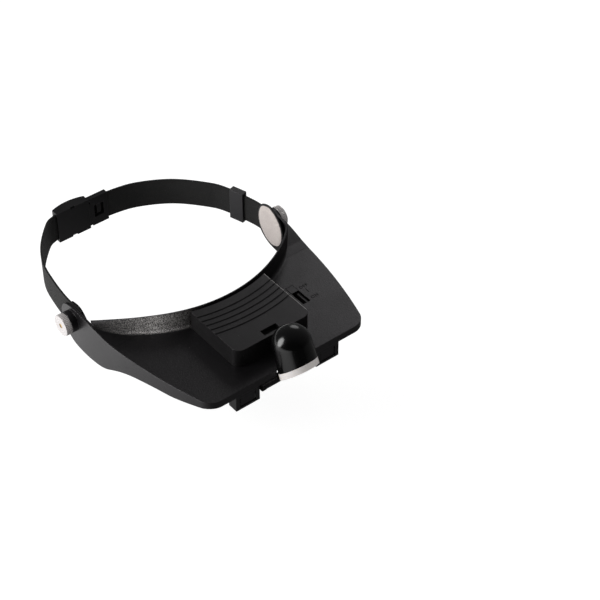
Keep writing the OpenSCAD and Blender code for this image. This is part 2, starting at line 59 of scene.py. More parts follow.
# Small tools for node trees
def addNode(tree, kind, x=0, y=0, **values):
    node = tree.nodes.new(kind)
    node.location = (x, y)
    for key, value in values.items():
        setattr(node, key, value)
    return node


def feed(tree, source, target):
    if isinstance(source, (int, float)):
        target.default_value = source
    else:
        tree.links.new(source, target)


def calc(tree, operation, a, b=0.0, c=None):
    node = addNode(tree, "ShaderNodeMath", operation=operation)
    feed(tree, a, node.inputs[0])
    feed(tree, b, node.inputs[1])
    if c is not None:
        feed(tree, c, node.inputs[2])
    return node.outputs[0]


def spread(tree, value, fromLow, fromHigh, toLow=0.0, toHigh=1.0):
    node = addNode(tree, "ShaderNodeMapRange")
    feed(tree, value, node.inputs["Value"])
    for name, number in (("From Min", fromLow), ("From Max", fromHigh),
                         ("To Min", toLow), ("To Max", toHigh)):
        node.inputs[name].default_value = number
    return node.outputs["Result"]


def mixColours(tree, share, first, second):
    node = addNode(tree, "ShaderNodeMix", data_type="RGBA")
    feed(tree, share, node.inputs["Factor"])
    for socket, colour in ((node.inputs["A"], first), (node.inputs["B"], second)):
        if isinstance(colour, tuple):
            socket.default_value = (*colour, 1)
        else:
            tree.links.new(colour, socket)
    return node.outputs["Result"]


def newGroup(name, inputs, outputs):
    group = bpy.data.node_groups.new(name, "ShaderNodeTree")
    for socketName, kind, value in inputs:
        socket = group.interface.new_socket(socketName, in_out="INPUT", socket_type=kind)
        if value is not None:
            socket.default_value = value
    for socketName, kind in outputs:
        group.interface.new_socket(socketName, in_out="OUTPUT", socket_type=kind)
    return group, addNode(group, "NodeGroupInput", -900), addNode(group, "NodeGroupOutput", 900)


# Grain of a spark-eroded mould, with softened edges
def makeMouldedGrain():
    tree, given, result = newGroup(
        "mouldedGrain",
        [("Grain size", "NodeSocketFloat", 900.0), ("Depth", "NodeSocketFloat", 0.1),
         ("Edge radius", "NodeSocketFloat", 0.0006), ("Ripple", "NodeSocketFloat", 0.05)],
        [("Normal", "NodeSocketVector"), ("Speckle", "NodeSocketFloat"),
         ("Cloud", "NodeSocketFloat")])
    place = addNode(tree, "ShaderNodeTexCoord", -700, 0)
    grain = addNode(tree, "ShaderNodeTexNoise", -500, 200)
    grain.inputs["Detail"].default_value = 3
    grain.inputs["Roughness"].default_value = 0.62
    cloud = addNode(tree, "ShaderNodeTexNoise", -500, -100)
    cloud.inputs["Scale"].default_value = 34
    cloud.inputs["Detail"].default_value = 3
    fleck = addNode(tree, "ShaderNodeTexVoronoi", -500, -400)
    fleck.inputs["Scale"].default_value = 420
    fleck.inputs["Randomness"].default_value = 1
    for texture in (grain, cloud, fleck):
        tree.links.new(place.outputs["Object"], texture.inputs["Vector"])
    tree.links.new(given.outputs["Grain size"], grain.inputs["Scale"])
    soft = addNode(tree, "ShaderNodeBevel", -100, -200, samples=4)
    tree.links.new(given.outputs["Edge radius"], soft.inputs["Radius"])
    ripple = addNode(tree, "ShaderNodeBump", 200, -100)
    ripple.inputs["Distance"].default_value = 0.0006
    tree.links.new(given.outputs["Ripple"], ripple.inputs["Strength"])
    tree.links.new(cloud.outputs["Fac"], ripple.inputs["Height"])
    tree.links.new(soft.outputs["Normal"], ripple.inputs["Normal"])
    bump = addNode(tree, "ShaderNodeBump", 500, 0)
    bump.inputs["Distance"].default_value = 0.0004
    tree.links.new(given.outputs["Depth"], bump.inputs["Strength"])
    tree.links.new(grain.outputs["Fac"], bump.inputs["Height"])
    tree.links.new(ripple.outputs["Normal"], bump.inputs["Normal"])
    tree.links.new(bump.outputs["Normal"], result.inputs["Normal"])
    near = spread(tree, fleck.outputs["Distance"], 0.12, 0.04)
    keep = spread(tree, fleck.outputs["Color"], 0.86, 0.9)
    tree.links.new(calc(tree, "MULTIPLY", near, keep), result.inputs["Speckle"])
    tree.links.new(cloud.outputs["Fac"], result.inputs["Cloud"])
    return tree


# Corners rubbed a little paler, found from the softened normal
def makeEdgeRub():
    tree, given, result = newGroup(
        "edgeRub", [("Reach", "NodeSocketFloat", 0.0008), ("Amount", "NodeSocketFloat", 0.6)],
        [("Rub", "NodeSocketFloat")])
    soft = addNode(tree, "ShaderNodeBevel", -500, 0, samples=4)
    tree.links.new(given.outputs["Reach"], soft.inputs["Radius"])
    flat = addNode(tree, "ShaderNodeNewGeometry", -500, -200)
    dot = addNode(tree, "ShaderNodeVectorMath", -250, 0, operation="DOT_PRODUCT")
    tree.links.new(soft.outputs["Normal"], dot.inputs[0])
    tree.links.new(flat.outputs["Normal"], dot.inputs[1])
    edge = spread(tree, dot.outputs["Value"], 0.985, 0.86)
    place = addNode(tree, "ShaderNodeTexCoord", -700, -400)
    patch = addNode(tree, "ShaderNodeTexNoise", -500, -400)
    patch.inputs["Scale"].default_value = 160
    patch.inputs["Detail"].default_value = 4
    tree.links.new(place.outputs["Object"], patch.inputs["Vector"])
    broken = spread(tree, patch.outputs["Fac"], 0.36, 0.62)
    rub = calc(tree, "MULTIPLY", calc(tree, "MULTIPLY", edge, broken), given.outputs["Amount"])
    tree.links.new(rub, result.inputs["Rub"])
    return tree


# Dust that lies on what faces up
def makeDust():
    tree, given, result = newGroup(
        "dust", [("Amount", "NodeSocketFloat", 0.3)], [("Dust", "NodeSocketFloat")])
    flat = addNode(tree, "ShaderNodeNewGeometry", -700, 200)
    split = addNode(tree, "ShaderNodeSeparateXYZ", -500, 200)
    tree.links.new(flat.outputs["Normal"], split.inputs[0])
    upward = spread(tree, split.outputs["Z"], 0.3, 1.0)
    place = addNode(tree, "ShaderNodeTexCoord", -900, -200)
    film = addNode(tree, "ShaderNodeTexNoise", -700, -200)
    film.inputs["Scale"].default_value = 55
    film.inputs["Detail"].default_value = 6
    film.inputs["Roughness"].default_value = 0.7
    tree.links.new(place.outputs["Object"], film.inputs["Vector"])
    patchy = spread(tree, film.outputs["Fac"], 0.42, 0.78)
    amount = calc(tree, "MULTIPLY", calc(tree, "MULTIPLY", upward, patchy), given.outputs["Amount"])
    tree.links.new(amount, result.inputs["Dust"])
    return tree


# Painted highlight: a grainy sparkle of light painted into the colour of the rim's outer wall, on
# the wearer's right of the battery cover
def makeRimSparkle():
    tree, given, result = newGroup(
        "rimSparkle",
        [("Middle", "NodeSocketFloat", -0.058), ("Spread", "NodeSocketFloat", 0.04),
         ("Amount", "NodeSocketFloat", 0.8)],
        [("Sparkle", "NodeSocketFloat")])
    place = addNode(tree, "ShaderNodeTexCoord", -1100, 0)
    centred = addNode(tree, "ShaderNodeVectorMath", -900, 0, operation="SUBTRACT")
    tree.links.new(place.outputs["Object"], centred.inputs[0])
    centred.inputs[1].default_value = (0, rimPlace["centreY"], rimPlace["deckTop"])
    split = addNode(tree, "ShaderNodeSeparateXYZ", -700, 0)
    tree.links.new(centred.outputs[0], split.inputs[0])
    radius = calc(tree, "SQRT", calc(tree, "ADD", calc(tree, "POWER", calc(
        tree, "ABSOLUTE", split.outputs["X"]), 2.0), calc(
            tree, "POWER", calc(tree, "ABSOLUTE", split.outputs["Y"]), 2.0)))
    inner = [rimPlace["radius"] + step for step in rimPlace["innerFade"]]
    outer = [rimPlace["radius"] + step for step in rimPlace["outerFade"]]
    wall = calc(tree, "MULTIPLY", spread(tree, radius, *inner), spread(tree, radius, *outer))
    above = spread(tree, split.outputs["Z"], 0.0, 0.0008)
    off = calc(tree, "ABSOLUTE",
               calc(tree, "SUBTRACT", split.outputs["X"], given.outputs["Middle"]))
    near = calc(tree, "SUBTRACT", 1.0, calc(tree, "DIVIDE", off, given.outputs["Spread"]))
    near = calc(tree, "POWER", calc(tree, "MAXIMUM", near, 0.0), 1.9)
    glintNoise = addNode(tree, "ShaderNodeTexNoise", -500, -300)
    glintNoise.inputs["Scale"].default_value = 1450
    glintNoise.inputs["Detail"].default_value = 2
    tree.links.new(place.outputs["Object"], glintNoise.inputs["Vector"])
    grains = spread(tree, glintNoise.outputs["Fac"], 0.42, 0.64, 0.06, 1.0)
    # the painted highlight is strongest at Middle along X, only on the outer wall above the deck
    where = calc(tree, "MULTIPLY", calc(tree, "MULTIPLY", wall, above), near)
    sparkle = calc(tree, "MULTIPLY", calc(tree, "MULTIPLY", where, grains), given.outputs["Amount"])
    tree.links.new(sparkle, result.inputs["Sparkle"])
    return tree


# Plain weave that follows the webbing's own map, in threads along and across
def makeWebbingWeave():
    tree, given, result = newGroup(
        "webbingWeave",
        [("Threads along", "NodeSocketFloat", 1.0), ("Threads across", "NodeSocketFloat", 1.0)],
        [("Height", "NodeSocketFloat"), ("Fuzz", "NodeSocketFloat"),
         ("Selvedge", "NodeSocketFloat")])
    place = addNode(tree, "ShaderNodeUVMap", -1200, 0, uv_map="webMap")
    split = addNode(tree, "ShaderNodeSeparateXYZ", -1000, 0)
    tree.links.new(place.outputs["UV"], split.inputs[0])
    along = calc(tree, "MULTIPLY", split.outputs["X"], given.outputs["Threads along"])
    across = calc(tree, "MULTIPLY", split.outputs["Y"], given.outputs["Threads across"])
    pi = math.pi

    def thread(lengthwise, sideways, sign):
        round_ = calc(tree, "POWER", calc(tree, "ABSOLUTE", calc(
            tree, "SINE", calc(tree, "MULTIPLY", sideways, pi))), 0.5)
        row = calc(tree, "MULTIPLY", calc(tree, "FLOOR", sideways), pi)
        wave = calc(tree, "SINE", calc(tree, "ADD", calc(tree, "MULTIPLY", lengthwise, pi), row))
        over = calc(tree, "MULTIPLY_ADD", wave, 0.5 * sign, 0.5)
        return calc(tree, "MULTIPLY", round_, over)

    height = calc(tree, "MAXIMUM", thread(along, across, 1), thread(across, along, -1))
    tree.links.new(height, result.inputs["Height"])
    where = addNode(tree, "ShaderNodeTexCoord", -1200, -400)
    fuzz = addNode(tree, "ShaderNodeTexNoise", -900, -400)
    fuzz.inputs["Scale"].default_value = 1500
    fuzz.inputs["Detail"].default_value = 4
    tree.links.new(where.outputs["Object"], fuzz.inputs["Vector"])
    tree.links.new(fuzz.outputs["Fac"], result.inputs["Fuzz"])
    middle = calc(tree, "ABSOLUTE", calc(tree, "SUBTRACT", split.outputs["Y"], 12.5))
    tree.links.new(spread(tree, middle, 10.9, 11.6), result.inputs["Selvedge"])
    return tree


mouldedGrain = makeMouldedGrain()
rimPlace = {"centreY": 0.0404, "deckTop": 0.007, "radius": 0.1114, "innerFade": (0.0006, 0.0012),
            "outerFade": (0.0044, 0.0036)}
rimSparkle = makeRimSparkle()
edgeRub = makeEdgeRub()
dustGroup = makeDust()
webbingWeave = makeWebbingWeave()


def placeGroup(tree, group, x=0, y=0, **values):
    node = addNode(tree, "ShaderNodeGroup", x, y, node_tree=group)
    for key, value in values.items():
        node.inputs[key.replace("_", " ")].default_value = value
    return node


def newMaterial(name):
    material = bpy.data.materials.new(name)
    material.use_nodes = True
    tree = material.node_tree
    return material, tree, tree.nodes["Principled BSDF"]


# Moulded plastic with grain, rubbed edges, flecks and a film of dust
def plastic(name, colour, pale, roughness, grainSize=900, depth=0.1, edge=0.0006, rub=0.5,
            dust=0.2, speckle=0.3, ripple=0.05, coat=0.0, specular=0.5, sparkle=0.0,
            paintedEdgeHighlight=None):
    material, tree, shader = newMaterial(name)
    grain = placeGroup(tree, mouldedGrain, -700, 0, Grain_size=grainSize, Depth=depth,
                       Edge_radius=edge, Ripple=ripple)
    rubbed = placeGroup(tree, edgeRub, -700, -300, Reach=edge * 1.4, Amount=rub)
    dusty = placeGroup(tree, dustGroup, -700, -500, Amount=dust)
    base = mixColours(tree, spread(tree, grain.outputs["Cloud"], 0.3, 0.7), colour,
                      tuple(min(1, c * 1.35) for c in colour))
    base = mixColours(tree, rubbed.outputs["Rub"], base, pale)
    base = mixColours(tree, dusty.outputs["Dust"], base, tuple(0.5 * c + 0.03 for c in pale))
    flecks = calc(tree, "MULTIPLY", grain.outputs["Speckle"], speckle)
    base = mixColours(tree, flecks, base, (0.32, 0.31, 0.3))
    # Painted highlight: pale grains of glint mixed into the colour where the rim's outer wall
    # catches the light
    if sparkle:
        paintedGlint = placeGroup(tree, rimSparkle, -700, -700, Amount=sparkle)
        base = mixColours(tree, paintedGlint.outputs["Sparkle"], base, (0.8, 0.77, 0.75))
    # Painted highlight: a pale line painted on the up-facing faces along the +X edge, where that
    # edge catches the light
    if paintedEdgeHighlight:
        place = addNode(tree, "ShaderNodeTexCoord", -1100, -900)
        split = addNode(tree, "ShaderNodeSeparateXYZ", -900, -900)
        tree.links.new(place.outputs["Object"], split.inputs[0])
        facing = addNode(tree, "ShaderNodeNewGeometry", -1100, -1100)
        upright = addNode(tree, "ShaderNodeSeparateXYZ", -900, -1100)
        tree.links.new(facing.outputs["Normal"], upright.inputs[0])
        edgeHighlight = calc(tree, "MULTIPLY",
                    spread(tree, split.outputs["X"], paintedEdgeHighlight - 0.0005, paintedEdgeHighlight - 0.0003),
                    spread(tree, upright.outputs["Z"], 0.6, 0.9))
        base = mixColours(tree, edgeHighlight, base, (0.22, 0.215, 0.21))
    tree.links.new(base, shader.inputs["Base Color"])
    rough = spread(tree, grain.outputs["Cloud"], 0.25, 0.75, roughness - 0.05, roughness + 0.06)
    rough = calc(tree, "ADD", rough, calc(tree, "MULTIPLY", dusty.outputs["Dust"], 0.3))
    tree.links.new(rough, shader.inputs["Roughness"])
    tree.links.new(grain.outputs["Normal"], shader.inputs["Normal"])
    shader.inputs["Coat Weight"].default_value = coat
    shader.inputs["Coat Roughness"].default_value = 0.18
    shader.inputs["Specular IOR Level"].default_value = specular
    shader.inputs["Specular Tint"].default_value = (1.0, 0.96, 1.0, 1)
    return material


# Plated or turned metal with fine lines round its X axis
def turnedMetal(name, colour, dull, roughness, lineScale=240, depth=0.02, edge=0.0001,
                metallic=1.0):
    material, tree, shader = newMaterial(name)
    place = addNode(tree, "ShaderNodeTexCoord", -1100, 0)
    split = addNode(tree, "ShaderNodeSeparateXYZ", -900, 0)
    tree.links.new(place.outputs["Object"], split.inputs[0])
    radius = calc(tree, "SQRT", calc(tree, "ADD", calc(tree, "POWER", split.outputs["Y"], 2.0),
                                     calc(tree, "POWER", split.outputs["Z"], 2.0)))
    rings = addNode(tree, "ShaderNodeTexNoise", -500, 100, noise_dimensions="1D")
    rings.inputs["Scale"].default_value = lineScale
    rings.inputs["Detail"].default_value = 4
    tree.links.new(calc(tree, "MULTIPLY", radius, 4.0), rings.inputs["W"])
    haze = addNode(tree, "ShaderNodeTexNoise", -500, -200)
    haze.inputs["Scale"].default_value = 240
    haze.inputs["Detail"].default_value = 5
    tree.links.new(place.outputs["Object"], haze.inputs["Vector"])
    base = mixColours(tree, spread(tree, haze.outputs["Fac"], 0.45, 0.8), colour, dull)
    tree.links.new(base, shader.inputs["Base Color"])
    shader.inputs["Metallic"].default_value = metallic
    rough = spread(tree, rings.outputs["Fac"], 0.3, 0.7, roughness - 0.06, roughness + 0.1)
    tree.links.new(rough, shader.inputs["Roughness"])
    soft = addNode(tree, "ShaderNodeBevel", -300, -400, samples=4)
    soft.inputs["Radius"].default_value = edge
    bump = addNode(tree, "ShaderNodeBump", -100, -300)
    bump.inputs["Strength"].default_value = depth
    bump.inputs["Distance"].default_value = 0.0001
    tree.links.new(rings.outputs["Fac"], bump.inputs["Height"])
    tree.links.new(soft.outputs["Normal"], bump.inputs["Normal"])
    tree.links.new(bump.outputs["Normal"], shader.inputs["Normal"])
    return material


# Charcoal webbing: the crowns of the threads painted paler and the valleys between them painted in
# shade, with paler fibres flecked over it and darker selvedges
def wovenWebbing(name, values):
    material, tree, shader = newMaterial(name)
    weave = placeGroup(tree, webbingWeave, -800, 0, Threads_along=1 / values["pitchAlong"],
                       Threads_across=1 / values["pitchAcross"])
    # Painted shade: the valleys between threads painted dark, the crowns painted lighter
    threadShading = spread(tree, weave.outputs["Height"], 0.25, 1.0)
    base = mixColours(tree, threadShading, values["valleyShade"], values["crown"])
    fibres = spread(tree, weave.outputs["Fuzz"], 0.52, 0.74)
    base = mixColours(tree, calc(tree, "MULTIPLY", fibres, 0.5), base, values["fibre"])
    base = mixColours(tree, calc(tree, "MULTIPLY", weave.outputs["Selvedge"], 0.6), base,
                      values["valleyShade"])
    tree.links.new(base, shader.inputs["Base Color"])
    shader.inputs["Roughness"].default_value = 0.86
    shader.inputs["Sheen Weight"].default_value = values["sheen"]
    shader.inputs["Sheen Roughness"].default_value = 0.45
    height = calc(tree, "ADD", weave.outputs["Height"], calc(
        tree, "MULTIPLY", weave.outputs["Fuzz"], 0.5))
    bump = addNode(tree, "ShaderNodeBump", -200, -300)
    bump.inputs["Strength"].default_value = values["relief"]
    bump.inputs["Distance"].default_value = 0.0004
    tree.links.new(height, bump.inputs["Height"])
    tree.links.new(bump.outputs["Normal"], shader.inputs["Normal"])
    return material


# Fine knitted skin of the temple pads, with painted shade in the gaps between stitches
def knittedSkin(name, values):
    material, tree, shader = newMaterial(name)
    place = addNode(tree, "ShaderNodeTexCoord", -1100, 0)
    cells = addNode(tree, "ShaderNodeTexVoronoi", -800, 100)
    cells.inputs["Scale"].default_value = values["stitchScale"]
    cells.inputs["Randomness"].default_value = 0.35
    blush = addNode(tree, "ShaderNodeTexNoise", -800, -200)
    blush.inputs["Scale"].default_value = 70
    blush.inputs["Detail"].default_value = 4
    for texture in (cells, blush):
        tree.links.new(place.outputs["Object"], texture.inputs["Vector"])
    base = mixColours(tree, spread(tree, blush.outputs["Fac"], 0.3, 0.75), values["pale"],
                      values["shade"])
    # Painted shade: the recessed gaps between stitches painted darker
    base = mixColours(tree, spread(tree, cells.outputs["Distance"], 0.35, 0.8, 0, 0.35), base,
                      values["gap"])
    tree.links.new(base, shader.inputs["Base Color"])
    shader.inputs["Roughness"].default_value = 0.78
    shader.inputs["Sheen Weight"].default_value = 0.25
    bump = addNode(tree, "ShaderNodeBump", -200, -300, invert=True)
    bump.inputs["Strength"].default_value = 0.3
    bump.inputs["Distance"].default_value = 0.0002
    tree.links.new(cells.outputs["Distance"], bump.inputs["Height"])
    tree.links.new(bump.outputs["Normal"], shader.inputs["Normal"])
    return material


# Clear or milky moulding
def clearMoulding(name, colour, roughness, transmission, subsurface=0.0):
    material, tree, shader = newMaterial(name)
    place = addNode(tree, "ShaderNodeTexCoord", -900, 0)
    flow = addNode(tree, "ShaderNodeTexNoise", -700, 0)
    flow.inputs["Scale"].default_value = 130
    flow.inputs["Detail"].default_value = 3
    tree.links.new(place.outputs["Object"], flow.inputs["Vector"])
    base = mixColours(tree, spread(tree, flow.outputs["Fac"], 0.3, 0.7), colour,
                      tuple(0.93 * c for c in colour))
    tree.links.new(base, shader.inputs["Base Color"])
    tree.links.new(spread(tree, flow.outputs["Fac"], 0.3, 0.7, roughness, roughness + 0.05),
                   shader.inputs["Roughness"])
    shader.inputs["Transmission Weight"].default_value = transmission
    shader.inputs["IOR"].default_value = 1.49
    shader.inputs["Subsurface Weight"].default_value = subsurface
    shader.inputs["Subsurface Radius"].default_value = (0.004, 0.004, 0.0035)
    bump = addNode(tree, "ShaderNodeBump", -200, -300)
    bump.inputs["Strength"].default_value = 0.04
    bump.inputs["Distance"].default_value = 0.0003
    tree.links.new(flow.outputs["Fac"], bump.inputs["Height"])
    tree.links.new(bump.outputs["Normal"], shader.inputs["Normal"])
    return material


brimBlack = plastic("brimBlack", (0.0036, 0.0034, 0.0037), (0.035, 0.034, 0.036), 0.36,
                    grainSize=1100, depth=0.34, edge=0.0008, rub=0.2, dust=0.03, speckle=0.35,
                    specular=0.5, sparkle=1.0)
# the cover's +X top edge carries a painted highlight line
coverBlack = plastic("coverBlack", (0.0038, 0.0037, 0.0038), (0.11, 0.107, 0.105), 0.4,
                     grainSize=1100, depth=0.28, edge=0.0003, rub=0.12, dust=0.03, speckle=0.3,
                     specular=0.42, paintedEdgeHighlight=0.0344)
bandBlack = plastic("bandBlack", (0.008, 0.008, 0.0088), (0.06, 0.06, 0.064), 0.42, grainSize=1300,
                    depth=0.08, edge=0.0006, rub=0.3, dust=0.06, speckle=0.12, specular=0.5)
buckleBlack = plastic("buckleBlack", (0.006, 0.006, 0.0064), (0.06, 0.06, 0.063), 0.42,
                      grainSize=1300, depth=0.08, edge=0.0006, rub=0.3, dust=0.06, speckle=0.12,
                      specular=0.28)
clipBlack = plastic("clipBlack", (0.0042, 0.0042, 0.0045), (0.05, 0.049, 0.05), 0.38,
                    grainSize=1200, depth=0.07, edge=0.0005, rub=0.35, dust=0.04, speckle=0.12,
                    specular=0.5)
knobBlack = plastic("knobBlack", (0.0045, 0.0045, 0.0048), (0.06, 0.06, 0.06), 0.4, grainSize=1400,
                    depth=0.06, edge=0.0003, rub=0.4, dust=0.04, speckle=0.1, specular=0.5)
lampBlack = plastic("lampBlack", (0.0012, 0.0012, 0.0013), (0.02, 0.02, 0.021), 0.3, grainSize=300,
                    depth=0.0, edge=0.0003, rub=0.0, dust=0.01, speckle=0.03, ripple=0.0,
                    coat=1.0, specular=0.02)
wireRed = plastic("wireRed", (0.2, 0.015, 0.012), (0.3, 0.06, 0.05), 0.5, depth=0.03, edge=0.0002,
                  rub=0.1, dust=0.1, speckle=0.0)
boardGreen = plastic("boardGreen", (0.02, 0.09, 0.035), (0.2, 0.25, 0.2), 0.35, depth=0.03,
                     edge=0.0003, rub=0.2, dust=0.05, speckle=0.2)
nutChrome = turnedMetal("nutChrome", (0.75, 0.715, 0.71), (0.68, 0.65, 0.64), 0.27,
                        depth=0.008, metallic=0.5)
screwBrass = turnedMetal("screwBrass", (0.72, 0.5, 0.22), (0.42, 0.27, 0.1), 0.3)
cellSteel = turnedMetal("cellSteel", (0.4, 0.41, 0.43), (0.28, 0.28, 0.3), 0.35)
contactNickel = turnedMetal("contactNickel", (0.72, 0.71, 0.69), (0.5, 0.48, 0.45), 0.3)
ringMilk = clearMoulding("ringMilk", (0.84, 0.80, 0.78), 0.25, 0.0, 0.35)
lensClear = clearMoulding("lensClear", (0.95, 0.97, 0.98), 0.04, 0.95)
ledResin = clearMoulding("ledResin", (0.92, 0.9, 0.72), 0.12, 0.35, 0.2)
webbingValues = {"pitchAlong": 0.85, "pitchAcross": 1.15, "valleyShade": (0.0025, 0.0024, 0.0024),
                 "crown": (0.0085, 0.008, 0.0077), "fibre": (0.034, 0.032, 0.031), "sheen": 0.05,
                 "relief": 0.55}
webbingCloth = wovenWebbing("webbingCloth", webbingValues)
padValues = {"stitchScale": 1150, "pale": (0.68, 0.62, 0.585), "shade": (0.6, 0.54, 0.51),
             "gap": (0.36, 0.31, 0.3)}
padSkin = knittedSkin("padSkin", padValues)
print("materials ready")


finishOf = {
    "strap_slider": bandBlack, "buckle_housing": buckleBlack, "buckle_insert": buckleBlack,
    "buckle_latch": buckleBlack, "temple_plate_left": clipBlack, "temple_plate_right": clipBlack,
    "clamp_screw_left": screwBrass, "clamp_screw_right": screwBrass, "thumb_nut_left": nutChrome,
    "thumb_nut_right": nutChrome, "visor_shell": brimBlack, "lens_clip_left": clipBlack,
    "lens_clip_right": clipBlack, "clip_tongue_left": clipBlack, "clip_tongue_right": clipBlack,
    "battery_tray": clipBlack, "battery_cover": coverBlack, "battery_cells": cellSteel,
    "battery_contacts": contactNickel, "switch_body": clipBlack, "switch_knob": knobBlack,
    "lamp_wires": wireRed, "lamp_bracket": clipBlack, "lamp_housing": lampBlack,
    "lamp_ring": ringMilk, "lamp_lens": lensClear, "lamp_board": boardGreen, "lamp_leds": ledResin,
    "strap_left": webbingCloth, "strap_rear": webbingCloth, "strap_right": webbingCloth,
    "temple_pad_left": padSkin, "temple_pad_right": padSkin,
}
for nodeName, material in finishOf.items():
    for slot in nodes[nodeName].material_slots:
        slot.material = material


# Small tools for pieces
def freshStart():
    if bpy.context.object and bpy.context.object.mode != "OBJECT":
        bpy.ops.object.mode_set(mode="OBJECT")
    bpy.ops.object.select_all(action="DESELECT")


def settle(piece):
    freshStart()
    piece.select_set(True)
    bpy.context.view_layer.objects.active = piece
    bpy.ops.object.transform_apply(location=True, rotation=True, scale=True)


def dress(piece, name, material, body):
    piece.name = name
    piece.data.name = name
    piece.data.materials.clear()
    piece.data.materials.append(material)
    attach(piece, body)


def applyModifiers(piece):
    freshStart()
    piece.select_set(True)
    bpy.context.view_layer.objects.active = piece
    for modifier in list(piece.modifiers):
        bpy.ops.object.modifier_apply(modifier=modifier.name)


def smoothRoute(points, steps):
    route = []
    last = len(points) - 1
    for i in range(last):
        a, b = points[max(i - 1, 0)], points[i]
        c, d = points[i + 1], points[min(i + 2, last)]
        for k in range(steps):
            s = k / steps
            route.append(0.5 * (2 * b + (c - a) * s + (2 * a - 5 * b + 4 * c - d) * s * s
                                + (3 * b - a - 3 * c + d) * s * s * s))
    route.append(points[last])
    return route


# Webbing laid on edge along its route, with rounded selvedges
strapValues = {"width": 25.0, "thickness": 1.5, "selvedge": 0.5, "steps": 14, "rows": 24}


def layWebbing(name, points, body, nodeName):
    route = smoothRoute([Vector((x, y, 0)) for x, y in points], strapValues["steps"])
    columns = len(route)
    rows = strapValues["rows"]
    freshStart()
    bpy.ops.mesh.primitive_grid_add(x_subdivisions=columns - 1, y_subdivisions=rows, size=1)
    strap = bpy.context.object
    far = [0.0]
    for i in range(1, columns):
        far.append(far[-1] + (route[i] - route[i - 1]).length)
    mesh = strap.data
    places = sorted(range(len(mesh.vertices)),
                    key=lambda v: (round(mesh.vertices[v].co.x, 5), mesh.vertices[v].co.y))
    webCoords = {}
    for order, index in enumerate(places):
        column, row = divmod(order, rows + 1)
        high = row / rows
        height = (high - 0.5) * strapValues["width"]
        mesh.vertices[index].co = Vector((route[column].x, route[column].y, height)) * mm
        webCoords[index] = (far[column], high * strapValues["width"])
    webMap = mesh.uv_layers.new(name="webMap")
    for loop in mesh.loops:
        webMap.data[loop.index].uv = webCoords[loop.vertex_index]
    for layer in list(mesh.uv_layers):
        if layer.name != "webMap":
            mesh.uv_layers.remove(layer)
    solid = strap.modifiers.new("thick", "SOLIDIFY")
    solid.thickness = strapValues["thickness"] * mm
    solid.offset = 0
    solid.use_even_offset = True
    edge = strap.modifiers.new("selvedge", "BEVEL")
    edge.width = strapValues["selvedge"] * mm
    edge.segments = 3
    edge.limit_method = "ANGLE"
    edge.angle_limit = math.radians(50)
    applyModifiers(strap)
    bpy.ops.object.shade_smooth_by_angle(angle=math.radians(40))
    dress(strap, name, webbingCloth, body)
    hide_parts(nodeName)


layWebbing("webbing_left", [(-91.4, -9), (-91.4, 12), (-88.5, 36), (-83.6, 57), (-72.7, 77),
                            (-56, 95.5), (-47.5, 99.8), (-43.5, 100.3)], "headband", "strap_left")
layWebbing("webbing_rear", [(1.5, 100.3), (27, 95.5), (54.7, 80), (76.4, 56), (83.8, 41),
                            (85.8, 34.3)], "headband", "strap_rear")
layWebbing("webbing_right", [(86.8, 30.7), (89, 22.5), (91.4, 10), (91.4, -9)], "headband",
           "strap_right")
print("webbing laid")


# Words beside the switch, standing a little proud of the brim
letterValues = {"size": 4.1, "proud": 0.09, "brimTop": 7.0, "sunk": 0.02, "spacing": 1.12}
dashValues = {"place": (59.6, -90.6, 7.02), "size": (0.45, 4.6, 0.14), "bevel": 0.04}
letterInk = plastic("letterInk", (0.0022, 0.0022, 0.0023), (0.01, 0.01, 0.01), 0.75, grainSize=1200,
                    depth=0.1, edge=0.0002, rub=0.1, dust=0.0, speckle=0.0, specular=0.12)


def stampWord(name, word, x, y):
    freshStart()
    bpy.ops.object.text_add(location=(
        x * mm, y * mm, (letterValues["brimTop"] - letterValues["sunk"]) * mm))
    stamp = bpy.context.object
    stamp.data.body = word
    stamp.data.size = letterValues["size"] * mm
    stamp.data.space_character = letterValues["spacing"]
    stamp.data.extrude = letterValues["proud"] * mm
    stamp.data.resolution_u = 4
    bpy.ops.object.convert(target="MESH")
    settle(stamp)
    dress(stamp, name, letterInk, "visor")


stampWord("word_off", "OFF", 56.2, -86.2)
stampWord("word_on", "ON", 56.6, -100.2)
freshStart()
bpy.ops.mesh.primitive_cube_add(size=1, location=[place * mm for place in dashValues["place"]])
dash = bpy.context.object
dash.scale = [side * mm for side in dashValues["size"]]
settle(dash)
bpy.ops.object.mode_set(mode="EDIT")
bpy.ops.mesh.select_all(action="SELECT")
bpy.ops.mesh.bevel(offset=dashValues["bevel"] * mm, segments=2)
bpy.ops.object.mode_set(mode="OBJECT")
dress(dash, "word_dash", letterInk, "visor")
print("words stamped")


# Temple pads: foam blown up by the cloth solver at ten times its size, then shrunk again
padValues["halfWidth"], padValues["halfHeight"] = 14.7, 18.2
padValues["foam"], padValues["edge"] = 1.25, 0.75
padShape = {"flankRadius": 20.7, "flankOffset": 5.9, "backFace": 89.14, "bigger": 10.0,
            "voxel": 4.5, "pressure": 4.0, "mostMove": 4.0, "plainHalf": 14.8, "startShare": 0.985,
            "rollIn": 2.2, "rollRise": 0.3, "crownIn": 5.0, "gluedBelow": 0.2, "clothFrames": 20}


def padReach(turn):
    across, along = math.cos(turn), math.sin(turn)
    offset, radius = padShape["flankOffset"], padShape["flankRadius"]
    flank = -offset * abs(across) + math.sqrt(radius ** 2 - (offset * along) ** 2)
    return min(padValues["halfHeight"], flank) * padValues["halfWidth"] / padShape["plainHalf"]


